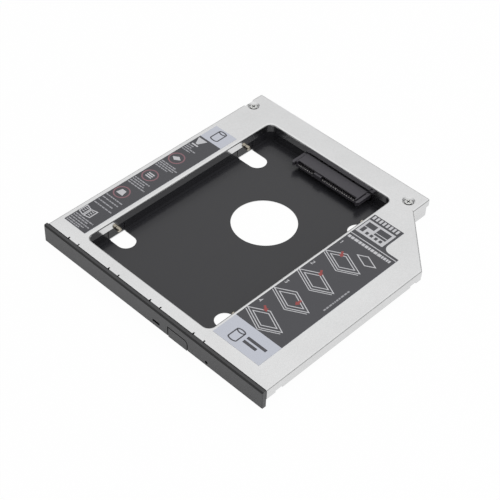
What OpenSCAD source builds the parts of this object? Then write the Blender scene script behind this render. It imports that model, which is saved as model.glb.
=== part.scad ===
// Laptop drive caddy: takes a 2.5 inch drive in the bay of a slim optical drive.
// X runs left to right along the bezel, Y from the bezel to the rear, Z up.

/* [Body] */
// Width of the top cover, left edge to wing edge
body_w = 125.2; // [122:0.1:128]
// Depth of the body, behind the bezel
body_d = 126.1; // [124:0.1:130]
// Height, underside to top face of the cover
body_h = 9.5; // [9.3:0.1:12.7]
// Width of the full-height part, which ends at the wing
main_w = 100.0; // [97:0.1:103]
// Length of the narrow stretch at the rear, beside the cut corner
notch_l = 10.9; // [9:0.1:13]

/* [Sheet metal] */
// Sheet thickness of the top cover
cover_t = 0.5; // [0.4:0.05:0.6]
// Sheet thickness of the bottom shell
shell_t = 0.5; // [0.4:0.05:0.6]
// Sheet thickness of the drive pan
pan_t = 0.5; // [0.4:0.05:0.6]
// Outer radius of the bends
bend_r = 0.8; // [0.7:0.05:1]
// Clearance between sheets that nest
fit_gap = 0.1; // [0.05:0.01:0.15]
// Height of the cover's side and rear flanges
flange_drop = 3.4; // [2.5:0.1:4]
// Height of the wing's side wall
wing_h = 4.9; // [4:0.1:5]

/* [Drive window] */
// Width of the window in the cover
window_w = 71.2; // [71.2:0.1:72]
// Length of the window
window_l = 108.2; // [107:0.1:109]
// Left edge of the body to the window
window_x = 17.4; // [16:0.1:19]
// Front edge of the body to the window
window_y = 5.8; // [5.5:0.1:7]
// Corner radius of the window
window_r = 3.0; // [2.5:0.1:4]
// Depth of the lip that is folded down round the window
lip_drop = 4.2; // [3.5:0.1:4.5]

/* [Drive seat] */
// Distance between the side holes of a 2.5 inch drive
hole_pitch = 76.6; // [76:0.1:77.2]
// Connector end of the drive to its first side hole
hole_setback = 14.0; // [13.5:0.1:14.5]
// Underside of the drive to its side holes
hole_rise = 3.0; // [2.8:0.1:3.2]
// Rear lip of the window to the connector end of the drive
drive_setback = 1.5; // [1.2:0.1:2]
// Width of the ledge on which the drive lies
ledge_w = 1.3; // [1:0.1:1.8]
// Height of the ledge above the pan's floor
ledge_h = 0.3; // [0.2:0.1:0.4]
// Width of a front tab and of the slot in the floor beside it
front_tab_w = 8.6; // [8:0.1:9]
// Width of a rear tab and of the slot in the floor beside it
rear_tab_w = 9.0; // [8:0.1:10]
// Length of the front left slot, from its tab
front_left_slot_l = 10.2; // [10:0.1:13]
// Length of the rear left slot, from its tab
rear_left_slot_l = 12.2; // [10:0.1:13]
// Length of the front right slot, from its tab
front_right_slot_l = 8.0; // [7.5:0.1:12]
// Length of the rear right slot, from its tab
rear_right_slot_l = 5.7; // [5.5:0.1:12]
// How far the front left tab's middle lies in front of its pin
front_left_shift = 0.5; // [0:0.1:2]
// How far the rear left tab's middle lies in front of its pin
rear_left_shift = 0.9; // [0:0.1:2]
// How far the front right tab's middle lies in front of its pin
front_right_shift = 2.4; // [0:0.1:2.6]
// How far the rear right tab's middle lies in front of its pin
rear_right_shift = 2.4; // [0:0.1:2.8]
// How far the right tabs are set in from the pan's wall
tab_inset = 1.1; // [0.6:0.05:1.1]
// Width of the slits beside a tab, where the pan's wall is cut
tab_slit = 0.4; // [0.3:0.1:0.6]
// Diameter of the round hole in the floor
floor_hole_d = 28.7; // [26:0.1:32]
// Middle of the drive seat to the round hole, to the right
floor_hole_dx = 2.1; // [0:0.1:4]
// Front edge of the body to the middle of the round hole
floor_hole_y = 71.4; // [68:0.1:74]
// Diameter of a drive pin
pin_d = 2.2; // [1.8:0.05:2.3]
// Length of the straight part of a drive pin
pin_l = 1.6; // [1:0.1:1.8]
// Chamfer at the tip of a drive pin
pin_tip = 0.3; // [0.2:0.05:0.4]
// Diameter of the riveted shank of a drive pin
pin_shank_d = 1.2; // [1:0.05:1.3]

/* [Cover details] */
// Width of a front tongue, which the bezel hooks behind
tongue_w = 5.1; // [4:0.1:6]
// Left edge of the body to the first tongue
tongue_x = 13.0; // [12:0.1:14]
// Distance between the tongues
tongue_pitch = 24.4; // [23:0.1:25]
// Number of tongues
tongue_count = 4; // [3:1:4]
// Height of a tongue
tongue_drop = 2.4; // [2:0.1:2.8]
// Width of the relief cut beside a tongue
relief_w = 0.7; // [0.5:0.1:1]
// Length of the relief cut beside a tongue
relief_l = 0.9; // [0.7:0.05:1.2]
// Left cover screw from the left edge
left_screw_x = 3.6; // [3.4:0.1:4]
// Left cover screw from the rear edge
left_screw_back = 8.9; // [8:0.1:10]
// Right cover screw from the edge of the full-height part
right_screw_inset = 5.7; // [5:0.1:7]
// Right cover screw from the rear edge
right_screw_back = 7.7; // [6:0.1:8]
// Diameter of the dimple round a cover screw
dimple_d = 5.6; // [5.2:0.1:5.8]
// Depth of the dimple round a cover screw
dimple_depth = 0.9; // [0.7:0.05:1]
// Length of the gap in the left flange beside the screw
edge_gap_l = 5.9; // [5:0.1:7]
// Depth of that gap
edge_gap_w = 1.0; // [0.9:0.05:1.2]
// Length of each shallow notch in the wing's wall
wing_notch_l = 3.8; // [3:0.1:5]
// Depth of each shallow notch in the wing's wall
wing_notch_d = 0.9; // [0.5:0.1:1.2]
// Front edge of the body to the first notch
wing_notch_y = 4.8; // [4:0.1:6]
// End of the wing's wall to the last notch
wing_notch_end = 3.2; // [2.5:0.1:4]

/* [Adapter board] */
// Thickness of the adapter board
board_t = 1.0; // [0.8:0.1:1.2]
// Height of the board's underside
board_z = 2.2; // [2:0.1:2.4]
// Left edge of the body to the board
board_x = 6.2; // [6.2:0.1:7]
// Width of the board
board_w = 77.0; // [76:0.1:78]
// Length of the board, front to rear
board_l = 9.6; // [9.2:0.1:9.8]
// Diameter of a standoff under the board
board_post_d = 3.6; // [3.2:0.1:4]
// Left edge of the body to the first board screw
board_screw_x = 37.0; // [36.6:0.1:37.4]
// Distance between the board screws
board_screw_pitch = 43.6; // [43:0.1:44]
// Rear edge of the board to its screws
board_screw_inset = 3.0; // [2.5:0.1:3.5]
// Diameter of the standoffs under the cover screws
cover_post_d = 3.8; // [3.4:0.1:4]

/* [Drive receptacle] */
// Distance between neighbouring contacts
contact_pitch = 1.27; // [1.25:0.01:1.29]
// Number of signal contacts
signal_count = 7; // [7:1:7]
// Number of power contacts
power_count = 15; // [15:1:15]
// Last signal contact to first power contact
key_gap = 6.35; // [6.2:0.05:6.5]
// Middle of the drive seat to the middle of the contacts
contact_dx = 5.4; // [4.8:0.1:6]
// Width of the receptacle's housing
recept_w = 35.0; // [34.6:0.1:35.4]
// Height of the receptacle's top face above the underside
recept_top = 5.9; // [5.7:0.1:6.1]
// How far the housing reaches into the drive
recept_reach = 6.5; // [6:0.1:7]
// Wall above the receptacle's slot
recept_wall = 0.6; // [0.5:0.05:0.8]
// Height of the receptacle's slot
recept_slot_h = 1.1; // [1:0.05:1.3]
// Thickness of the guide arms at both ends
arm_t = 1.4; // [1.2:0.1:1.6]
// Gap between a guide arm and the housing
arm_gap = 0.5; // [0.4:0.1:0.7]
// How far the slot's floor stands out in front of its top wall
recept_step = 1.3; // [0.8:0.1:1.5]
// How far the guide arms stand out in front of the housing
arm_reach = 1.1; // [0.8:0.1:2]
// Height of a guide arm
arm_h = 1.9; // [1.5:0.1:2.2]
// Width of a receptacle contact
contact_w = 0.5; // [0.4:0.05:0.6]
// Thickness of the contact metal
contact_t = 0.25; // [0.2:0.05:0.3]

/* [Host plug] */
// Left edge of the body to the middle of the plug
plug_x = 20.6; // [20:0.1:21]
// Width of the plug's housing
plug_w = 26.5; // [26:0.1:27]
// Height of the plug's housing
plug_h = 4.5; // [4:0.1:4.6]
// Gap in the rear wall beside the plug
plug_gap = 0.4; // [0.3:0.05:0.6]
// Thickness of the plug's side walls
plug_wall = 1.6; // [1.4:0.1:1.8]
// Thickness of the plug's tongue
plug_tongue_t = 1.2; // [1.1:0.1:1.3]
// Distance between the plug's power contacts
plug_power_pitch = 1.0; // [0.98:0.01:1.02]
// Number of power contacts in the plug
plug_power_count = 6; // [6:1:6]
// Last signal contact to first power contact of the plug
plug_key_gap = 4.83; // [4.6:0.01:5]

/* [Bezel] */
// Depth of the bezel, front to back
bezel_d = 2.1; // [2:0.05:2.4]
// Gap from the underside to the bezel's lower edge
bezel_z = 0.4; // [0.3:0.05:0.6]
// Gap from the cover's top face down to the bezel's top
bezel_drop = 0.1; // [0.05:0.05:0.2]
// Overhang past the left edge of the body
bezel_over = 0.6; // [0.3:0.1:0.9]
// Distance that the bezel stays short of the wing's edge
bezel_short = 0.2; // [0.1:0.1:0.5]
// Thickness of the bezel's face
bezel_face = 1.1; // [0.9:0.05:1.2]
// Thickness of the bezel's rim
bezel_rim = 0.9; // [0.8:0.05:1]
// Chamfer along the bezel's top edge
bezel_bevel = 0.6; // [0.4:0.05:0.8]
// Chamfer along the bezel's other front edges
bezel_edge = 0.35; // [0.2:0.05:0.5]
// Chamfer along the bezel's top rear edge, beside the cover
bezel_seam = 0.3; // [0.2:0.05:0.4]
// Left edge of the body to the indicator slot
lamp_x = 65.3; // [64:0.1:66]
// Length of the indicator slot
lamp_l = 4.0; // [3:0.1:5]
// Height of the indicator slot
lamp_h = 1.2; // [0.8:0.05:1.3]
// Height of the slot's lower edge
lamp_z = 2.6; // [2.5:0.05:3]
// Left edge of the body to the emergency release hole
pinhole_x = 95.4; // [94.5:0.1:96]
// Height of the emergency release hole
pinhole_z = 2.4; // [2.2:0.05:2.6]
// Diameter of the emergency release hole
pinhole_d = 1.5; // [1.2:0.05:1.6]

/* [Eject button] */
// Left edge of the body to the button's opening
button_x = 73.7; // [73:0.1:74]
// Width of the button's opening
button_w = 11.5; // [11:0.1:11.8]
// Top of the button's opening above the underside
button_top = 5.8; // [5.4:0.1:5.9]
// Radius of the opening's upper right corner
button_r = 2.2; // [1.8:0.1:2.6]
// Clearance round the button
button_gap = 0.55; // [0.4:0.05:0.6]
// Rim of the button behind the bezel's face
button_rim = 0.9; // [0.8:0.05:1]
// Thickness of that rim
button_rim_t = 0.45; // [0.4:0.05:0.5]
// Length of the button's stem behind the rim
button_stem_l = 2.0; // [1.5:0.1:2.5]
// Travel of the button
button_travel = 0.6; // [0.4:0.05:0.7]

/* [Labels] */
// Thickness of the labels
label_t = 0.1; // [0.08:0.01:0.15]
// Width of the left label
left_label_w = 12.8; // [12:0.1:13]
// Length of the left label
left_label_l = 88.1; // [86:0.1:90]
// Window to the left label
left_label_gap = 2.2; // [1.8:0.1:2.6]
// Width of the right label
right_label_w = 24.5; // [24:0.1:25]
// Length of the right label's wide part
right_label_l = 81.2; // [79:0.1:82]
// Width of the right label's narrow end
right_tail_w = 15.9; // [15:0.1:17]
// Length of the right label's narrow end
right_tail_l = 13.8; // [13:0.1:15]
// Window to the right label
right_label_gap = 1.5; // [1.2:0.1:2]
// Fillet between the wide part and the narrow end
tail_fillet = 3.5; // [3:0.1:4]
// Front edge of the body to the labels
label_y = 6.5; // [6.2:0.1:7]

/* [Hidden] */
$fn = 48;
// A small length by which cutters run past the faces they cut
over = 1;

// Outline of the cover
wing_w = body_w - main_w;
notch_y = body_d - notch_l;
wing_end_y = notch_y - wing_w;
// Inset lines of a 45 degree edge meet its neighbours this much further along
diag_shift = sqrt(2) - 1;
corner_y = tidy(wing_end_y - bend_r * diag_shift);
// Laps by which the bends along the slanted edge run into what they meet
slant_lap = 0.25;
flat_lap = 0.2;

// Heights, from the underside up
cover_under = body_h - cover_t;
lip_z = body_h - lip_drop;
floor_top = shell_t + pan_t;
ledge_top = floor_top + ledge_h;
pin_z = ledge_top + hole_rise;
board_top = board_z + board_t;
shelf_z = body_h - wing_h;

// Places along the window and the drive
seat_x = window_x + window_w / 2;
window_end_x = window_x + window_w;
window_end_y = window_y + window_l;
drive_end_y = window_end_y - drive_setback;
rear_pin_y = drive_end_y - hole_setback;
front_pin_y = rear_pin_y - hole_pitch;
floor_hole_x = seat_x + floor_hole_dx;

// Bottom shell, nested inside the cover's flanges
shell_in = cover_t + fit_gap;
shell_right = main_w - shell_in;
shell_rear = body_d - shell_in;
shell_front = fit_gap;
meet_y = tidy(notch_y - shell_in * diag_shift);
front_wall_h = 4.4;
// Height at which the shell's right wall meets the shelf's wall
wall_split = shelf_z / 2;
hole_margin = 0.3;

// Drive pan, under the window's lip
pan_face_x = window_x + fit_gap;
pan_face_w = window_w - 2 * fit_gap;
pan_face_y = window_y + fit_gap;
pan_face_l = window_l - 2 * fit_gap;
lip_gap = 0.3;
pan_wall_top = lip_z - lip_gap;
seat_w = pan_face_w;
tab_h = lip_z - fit_gap;
slit_z = ledge_top + pan_t;
// Side, pin, shift, inset, width and slot length of each tab
tabs = [[-1, front_pin_y, front_left_shift, 0, front_tab_w, front_left_slot_l],
    [-1, rear_pin_y, rear_left_shift, 0, rear_tab_w, rear_left_slot_l],
    [1, front_pin_y, front_right_shift, tab_inset, front_tab_w, front_right_slot_l],
    [1, rear_pin_y, rear_right_shift, tab_inset, rear_tab_w, rear_right_slot_l]];

// Adapter board and what stands on it
board_gap = 0.4;
board_y = shell_rear - shell_t - board_gap - board_l;
board_screw_y = board_y + board_l - board_screw_inset;
screw_core_r = 0.8;
screw_r = 0.95;
thread_gap = 0.02;
board_screw_head_r = 1.8;
board_screw_head_h = 1.0;
board_screw_l = 2.4;
post_shank_r = 1.2;

// Drive receptacle
contact_x = seat_x + contact_dx;
array_w = (signal_count - 1 + power_count - 1) * contact_pitch + key_gap;
signal_x = contact_x - array_w / 2;
power_x = signal_x + (signal_count - 1) * contact_pitch + key_gap;
recept_x = contact_x - recept_w / 2;
recept_front = drive_end_y - recept_reach;
recept_foot_l = 3.2;
recept_back = board_y + recept_foot_l;
recept_z = board_top;
slot_top = recept_top - recept_wall;
slot_bottom = slot_top - recept_slot_h;
slot_depth = 5.6;
slot_margin = 1.1;
arm_rise = 0.4;
tail_l = 1.0;
cap_l = 1.6;
cap_w = 0.8;
cap_pitch = 5.0;
cap_inset = 3.0;

// Host plug
plug_left = plug_x - plug_w / 2;
plug_setback = 0.8;
plug_front = board_y + plug_setback;
plug_base_l = 3.2;
plug_back = body_d;
plug_tongue_z = board_top + (plug_h - plug_tongue_t) / 2;
plug_array_w = (signal_count - 1) * contact_pitch + plug_key_gap
    + (plug_power_count - 1) * plug_power_pitch;
plug_signal_x = plug_x - plug_array_w / 2;
plug_power_x = plug_signal_x + (signal_count - 1) * contact_pitch + plug_key_gap;
plug_strip_w = 0.6;
tongue_margin = 1.6;

// Cover screws
right_screw_x = main_w - right_screw_inset;
left_screw_y = body_d - left_screw_back;
right_screw_y = body_d - right_screw_back;
dimple_floor = body_h - dimple_depth;
post_top = dimple_floor - cover_t;
screw_head_r = 1.75;
screw_head_h = 0.55;
screw_l = 3.6;
screw_hole_r = 1.1;
cross_w = 0.42;
cross_l = 2.0;
cross_depth = 0.35;
dimple_flat_r = 2.0;

// Bezel
strip_setback = 0.35;
bezel_left = -bezel_over;
bezel_w = body_w + bezel_over - bezel_short;
bezel_top = body_h - bezel_drop;
hook_arm_t = 0.9;
hook_reach = 1.7;
hook_inset = 0.4;
hook_barb = 1.0;
hook_flat = 0.3;
hook_slope = 0.2;
rib_t = 0.8;
tongue_bend = 0.65;
tongue_z = body_h - tongue_drop;

// Rear bracket holes, tapped for small screws
bracket_pitch = 10.0;
bracket_x = 86.0;
bracket_z = 3.4;
bracket_collar_r = 1.5;
bracket_collar_l = 0.7;

// Rest of the receptacle: where its tall part ends in front of the lip, the web
// that carries the guide arms, and the free space round it
lip_room = 0.6;
shoulder_y = window_end_y - lip_room;
web_l = 1.2;
recept_room = 0.4;
contact_inset = 0.1;
key_drop = 0.5;

// Rest of the plug, and the floor left under a standoff's bore
plug_floor = 0.6;
plug_recess = 0.9;
tip_setback = 0.4;
floor_skin = 0.2;

// Other small details
head_bevel = 0.15;
button_stem_w = 3.0;
button_stem_h = 2.1;
stem_rise = 1.0;
button_space = 1.0;

// The frame's origin: the middle of the whole outline, on the underside
mid_x = (bezel_left + body_w) / 2;
mid_y = (body_d - bezel_d) / 2;

sheet_colour = [0.82, 0.83, 0.84];
black_sheet = [0.17, 0.17, 0.18];
black_plastic = [0.22, 0.22, 0.23];
gold = [0.83, 0.68, 0.35];
steel = [0.62, 0.62, 0.60];
board_green = [0.10, 0.32, 0.20];
part_tan = [0.72, 0.62, 0.48];
label_grey = [0.26, 0.26, 0.28];

// Moves a piece from the body's left front corner to the frame's origin
module placed() {
    translate([-mid_x, -mid_y, 0]) children();
}

// Rounds a derived length to a hundredth
function tidy(v) = round(v * 100) / 100;

// Section of a bent edge: a quarter bend from the flat, then a straight wall.
// The sharp corner that the bend rounds is at 0, 0.
module bend_section(drop, t, r, lap = 0) {
    if (lap > 0) translate([-r - lap, -t]) square([lap, t]);
    translate([-r, -r]) intersection() {
        difference() {
            circle(r);
            circle(r - t);
        }
        square(r);
    }
    translate([-t, -drop]) square([t, drop - r]);
}

// A bent edge that runs from a to b along a straight line, outward to its left
module bent_edge(a, b, drop, t, r, lap = 0) {
    run = b - a;
    translate(a) rotate([0, 0, atan2(run[1], run[0])]) rotate([90, 0, 90])
        linear_extrude(norm(run)) bend_section(drop, t, r, lap);
}

// The slanted bent edge, from the round corner about c back to the inner corner at p
module slanted_edge(c, p, drop, t) {
    run = tidy((c[0] - p[0] + p[1] - c[1]) * sin(45) + slant_lap);
    translate(c) rotate([0, 0, -45]) translate([-run, bend_r, 0]) rotate([90, 0, 90])
        linear_extrude(run) bend_section(drop, t, bend_r, flat_lap);
}

// A bent corner about a vertical axis through its flat's corner
module bent_corner(centre, start, turn, drop, t, r) {
    translate(centre) rotate([0, 0, start])
        rotate_extrude(angle = turn) translate([r, 0]) bend_section(drop, t, r);
}

// A rectangle with round corners, from its lower left corner
module round_rect(w, l, r) {
    translate([r, 0]) square([w - 2 * r, l]);
    translate([0, r]) square([w, l - 2 * r]);
    for (x = [r, w - r], y = [r, l - r]) translate([x, y]) circle(r);
}

// A frame of even thickness, measured outward from its inner rectangle
module round_frame(w, l, r, t) {
    difference() {
        translate([-t, -t]) round_rect(w + 2 * t, l + 2 * t, r + t);
        round_rect(w, l, r);
    }
}

// The lip that is drawn down all round the window
module window_lip() {
    r = window_r;
    inner = [[window_x + r, window_y + r], [window_end_x - r, window_y + r],
        [window_end_x - r, window_end_y - r], [window_x + r, window_end_y - r]];
    for (i = [0:3]) translate([0, 0, body_h]) {
        turn = 90 * i;
        out = [sin(turn), -cos(turn)] * r;
        bent_edge(inner[i] + out, inner[(i + 1) % 4] + out,
            lip_drop, cover_t, bend_r);
        translate(inner[i]) rotate([0, 0, 180 + turn])
            rotate_extrude(angle = 90) translate([r, 0]) mirror([1, 0])
                bend_section(lip_drop, cover_t, bend_r);
    }
}

// Flat of the cover, up to where its bends begin
module cover_flat() {
    b = bend_r;
    difference() {
        polygon([[b, 0], [b, body_d - b], [main_w - b, body_d - b],
            [main_w - b, tidy(notch_y - b * diag_shift - flat_lap * sin(45))],
            [body_w - b, tidy(corner_y - flat_lap * sin(45))], [body_w - b, 0]]);
        translate([window_x - b, window_y - b])
            round_rect(window_w + 2 * b, window_l + 2 * b, window_r + b);
    }
}

// Dished seat of a cover screw, with its clearance hole
module dimple(x, y) {
    translate([x, y, 0]) rotate_extrude() polygon([
        [screw_hole_r, dimple_floor - cover_t], [dimple_flat_r, dimple_floor - cover_t],
        [dimple_d / 2, cover_under], [dimple_d / 2, body_h],
        [dimple_flat_r, dimple_floor], [screw_hole_r, dimple_floor]]);
}

// Cuts a tongue free at both sides
module tongue_reliefs() {
    for (i = [0:tongue_count - 1], side = [-relief_w, tongue_w])
        translate([tongue_x + i * tongue_pitch + side, -over, cover_under - over])
            cube([relief_w, relief_l + over, cover_t + 2 * over]);
}

module cover_edges() {
    gap_y = left_screw_y - edge_gap_l / 2;
    flat_rear = body_d - bend_r;
    plug_open = plug_w / 2 + plug_gap;
    translate([0, 0, body_h]) {
        bent_edge([0, 0], [0, gap_y], flange_drop, cover_t, bend_r);
        bent_edge([0, gap_y + edge_gap_l], [0, flat_rear], flange_drop, cover_t, bend_r);
        bent_corner([bend_r, flat_rear], 90, 90, flange_drop, cover_t, bend_r);
        bent_edge([bend_r, body_d], [plug_x - plug_open, body_d],
            flange_drop, cover_t, bend_r);
        bent_edge([plug_x + plug_open, body_d], [main_w - bend_r, body_d],
            flange_drop, cover_t, bend_r);
        bent_corner([main_w - bend_r, flat_rear], 0, 90, flange_drop, cover_t, bend_r);
        bent_edge([main_w, flat_rear], [main_w, notch_y - slant_lap],
            flange_drop, cover_t, bend_r);
        slanted_edge([body_w - bend_r, corner_y], [main_w, notch_y], flange_drop, cover_t);
        bent_corner([body_w - bend_r, corner_y], 0, 45, flange_drop, cover_t, bend_r);
        bent_edge([body_w, corner_y], [body_w, 0], wing_h, cover_t, bend_r, flat_lap);
        for (i = [0:tongue_count - 1]) {
            x = tongue_x + i * tongue_pitch;
            bent_edge([x + tongue_w, 0], [x, 0], tongue_drop, cover_t, tongue_bend);
        }
    }
}

// Plate behind the plug, which has no flange there
module plug_strip() {
    open = plug_w + 2 * plug_gap;
    translate([plug_x - open / 2, body_d - bend_r, cover_under])
        cube([open, bend_r - strip_setback, cover_t]);
}

module top_cover() placed() color(sheet_colour) difference() {
    union() {
        difference() {
            union() {
                translate([0, 0, cover_under]) linear_extrude(cover_t) cover_flat();
                plug_strip();
            }
            for (p = [[left_screw_x, left_screw_y], [right_screw_x, right_screw_y]])
                translate([p[0], p[1], cover_under - over])
                    cylinder(h = cover_t + 2 * over, d = dimple_d);
            tongue_fronts();
        }
        cover_edges();
        window_lip();
        dimple(left_screw_x, left_screw_y);
        dimple(right_screw_x, right_screw_y);
    }
    tongue_reliefs();
    translate([-over, left_screw_y - edge_gap_l / 2, body_h - flange_drop - over])
        cube([edge_gap_w + over, edge_gap_l, flange_drop + 2 * over]);
    for (y = [wing_notch_y, wing_end_y - wing_notch_end - wing_notch_l])
        translate([body_w - cover_t - over, y, shelf_z - over])
            cube([cover_t + 2 * over, wing_notch_l, wing_notch_d + over]);
}

// Room in the flat for the bends of the tongues
module tongue_fronts() {
    for (i = [0:tongue_count - 1])
        translate([tongue_x + i * tongue_pitch, -over, cover_under - over])
            cube([tongue_w, tongue_bend + over, cover_t + 2 * over]);
}

// Places its children at a tab's face, level with its pin, with +X pointing inward
module at_pin(t) {
    translate([seat_x + t[0] * (seat_w / 2 - t[3]), t[1], 0])
        mirror([t[0] > 0 ? 1 : 0, 0, 0]) children();
}

// Places its children at the middle of a tab's face
module at_tab(t) {
    at_pin(t) translate([0, -t[2], 0]) children();
}

// The slots in the floor beside the tabs: straight at the tab, round at the far end
module slots(margin) {
    for (t = tabs) at_tab(t) {
        w = t[4] + 2 * margin;
        round_x = t[5] - t[4] / 2;
        intersection() {
            translate([-margin, -w / 2]) square([t[5] + 2 * margin, w]);
            union() {
                translate([-margin, -w / 2]) square([round_x + margin, w]);
                translate([round_x, 0]) circle(w / 2);
            }
        }
    }
}

// Full-height tub of the bottom shell
module shell_tub() {
    b = bend_r;
    l = shell_in;
    r = shell_right;
    f = shell_front;
    k = shell_rear;
    translate([l + b, f + b, 0]) cube([r - l - 2 * b, k - f - 2 * b, shell_t]);
    mirror([0, 0, 1]) {
        bent_edge([l, f + b], [l, k - b], cover_under, shell_t, b);
        bent_corner([l + b, k - b], 90, 90, cover_under, shell_t, b);
        bent_edge([l + b, k], [r - b, k], cover_under, shell_t, b);
        bent_corner([r - b, k - b], 0, 90, cover_under, shell_t, b);
        bent_edge([r, k - b], [r, meet_y - slant_lap], cover_under, shell_t, b);
        bent_edge([r, meet_y], [r, f + b], wall_split, shell_t, b);
        bent_corner([r - b, f + b], 270, 90, wall_split, shell_t, b);
        bent_edge([r - b, f], [l + b, f], front_wall_h, shell_t, b);
        bent_corner([l + b, f + b], 180, 90, front_wall_h, shell_t, b);
    }
}

// Thin shelf that closes the wing from below
module shell_shelf() {
    b = bend_r;
    in_x = shell_right - shell_t;
    out_x = body_w - shell_in;
    diag_sum = main_w + notch_y - (shell_in + b) * sqrt(2);
    corner = [out_x - b, tidy(diag_sum - out_x + b)];
    lapped = flat_lap * sin(45);
    translate([0, 0, shelf_z]) {
        linear_extrude(shell_t) polygon([[in_x + b, shell_front],
            [in_x + b, tidy(diag_sum - in_x - b - lapped)],
            corner - [0, tidy(lapped)], [out_x - b, shell_front]]);
        translate([0, 0, shell_t]) bent_edge([in_x, shell_front], [in_x, meet_y],
            shelf_z + shell_t - wall_split, shell_t, b);
        mirror([0, 0, 1]) {
            slanted_edge(corner, [shell_right, meet_y], cover_under - shelf_z, shell_t);
            bent_corner(corner, 0, 45, cover_under - shelf_z, shell_t, b);
            bent_edge([out_x, corner[1]], [out_x, shell_front],
                cover_under - shelf_z, shell_t, b, flat_lap);
        }
    }
}

module bracket_holes(r, from_y, to_y) {
    for (i = [0, 1]) translate([bracket_x + i * bracket_pitch, to_y, bracket_z])
        rotate([90, 0, 0]) cylinder(h = to_y - from_y, r = r);
}

module bottom_shell() placed() color(sheet_colour) difference() {
    inner_y = shell_rear - shell_t;
    button_room = button_rim + button_space;
    union() {
        shell_tub();
        shell_shelf();
        bracket_holes(bracket_collar_r, inner_y - bracket_collar_l, inner_y);
    }
    bracket_holes(screw_core_r, inner_y - bracket_collar_l - over, shell_rear + over);
    translate([floor_hole_x, floor_hole_y, -over])
        cylinder(h = shell_t + 2 * over, d = floor_hole_d + 2 * hole_margin, $fn = 96);
    translate([0, 0, -over]) linear_extrude(shell_t + 2 * over) slots(hole_margin);
    translate([plug_x - plug_w / 2 - plug_gap, inner_y - over, board_top - plug_gap])
        cube([plug_w + 2 * plug_gap, shell_t + 2 * over, body_h]);
    translate([button_x - button_room, shell_front - over, bend_r])
        cube([button_w + 2 * button_room, shell_t + 2 * over, body_h]);
    for (p = standoff_places) translate([p[0], p[1], -over])
        cylinder(h = shell_t + 2 * over, r = post_shank_r);
}

// Stepped rim of the pan, from the riser out to the wall
module pan_rim() {
    in_r = window_r - ledge_w;
    w = pan_face_w - 2 * ledge_w;
    l = pan_face_l - 2 * ledge_w;
    translate([pan_face_x, pan_face_y, 0]) {
        translate([ledge_w, ledge_w, shell_t])
            linear_extrude(ledge_top - shell_t) round_frame(w, l, in_r, pan_t);
        translate([ledge_w, ledge_w, ledge_top - pan_t])
            linear_extrude(pan_t) round_frame(w, l, in_r, ledge_w + pan_t);
        translate([0, 0, ledge_top - pan_t])
            linear_extrude(pan_wall_top - ledge_top + pan_t)
                round_frame(pan_face_w, pan_face_l, window_r, pan_t);
    }
}

module drive_pan() placed() color(black_sheet) difference() {
    union() {
        difference() {
            pan_rim();
            for (t = tabs) at_tab(t)
                translate([-t[3] - pan_t - over, -t[4] / 2 - tab_slit, slit_z])
                    cube([pan_t + 2 * over, t[4] + 2 * tab_slit, body_h]);
        }
        translate([pan_face_x + ledge_w, pan_face_y + ledge_w, shell_t])
            linear_extrude(pan_t) round_rect(pan_face_w - 2 * ledge_w,
                pan_face_l - 2 * ledge_w, window_r - ledge_w);
        for (t = tabs) at_tab(t) translate([-pan_t, -t[4] / 2, ledge_top - pan_t])
            cube([pan_t, t[4], tab_h - ledge_top + pan_t]);
    }
    translate([0, 0, shell_t - over])
        linear_extrude(pan_t + ledge_h + 2 * over) slots(0);
    for (t = tabs) at_pin(t) translate([-pan_t - over, 0, pin_z])
        rotate([0, 90, 0]) cylinder(h = pan_t + 2 * over, d = pin_shank_d + 2 * thread_gap);
    translate([floor_hole_x, floor_hole_y, 0])
        cylinder(h = floor_top + over, d = floor_hole_d, $fn = 96);
    translate([contact_x - recept_w / 2 - arm_gap - arm_t - recept_room,
        pan_face_y + pan_face_l - over, ledge_top])
        cube([recept_w + 2 * (arm_gap + arm_t + recept_room), pan_t + 2 * over, body_h]);
}

// A riveted pin that stands in a side hole of the drive
module drive_pin(t) placed() color(steel) at_pin(t)
    translate([0, 0, pin_z]) rotate([0, 90, 0]) {
        translate([0, 0, -pan_t]) cylinder(h = pan_t, d = pin_shank_d);
        cylinder(h = pin_l, d = pin_d);
        translate([0, 0, pin_l])
            cylinder(h = pin_tip, d1 = pin_d, d2 = pin_d - 2 * pin_tip);
    }

module front_left_pin() drive_pin(tabs[0]);
module rear_left_pin() drive_pin(tabs[1]);
module front_right_pin() drive_pin(tabs[2]);
module rear_right_pin() drive_pin(tabs[3]);

// Places of a row of contacts, from its first one
function row(first, count, pitch) = [for (i = [0:count - 1]) first + i * pitch];

signal_row = row(signal_x, signal_count, contact_pitch);
power_row = row(power_x, power_count, contact_pitch);
plug_signal_row = row(plug_signal_x, signal_count, contact_pitch);
plug_power_row = row(plug_power_x, plug_power_count, plug_power_pitch);

// One bent contact: a blade, a leg down behind it and a foot on the board.
// dir is 1 where the leg stands behind the blade and -1 where it is in front.
module contact(x, w, from_y, leg_y, blade_z, dir) {
    foot_y = dir > 0 ? leg_y : leg_y - tail_l;
    blade_y = min(from_y, leg_y);
    translate([x - w / 2, blade_y, blade_z]) cube([w, abs(leg_y - from_y), contact_t]);
    translate([x - w / 2, dir > 0 ? leg_y : leg_y - contact_t, board_top])
        cube([w, contact_t, blade_z + contact_t - board_top]);
    translate([x - w / 2, foot_y, board_top]) cube([w, tail_l, contact_t]);
}

module receptacle_contacts(places) placed() color(gold)
    for (x = places)
        contact(x, contact_w, recept_front + contact_inset, recept_back, slot_bottom, 1);

module receptacle_signal_contacts() receptacle_contacts(signal_row);
module receptacle_power_contacts() receptacle_contacts(power_row);

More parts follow.
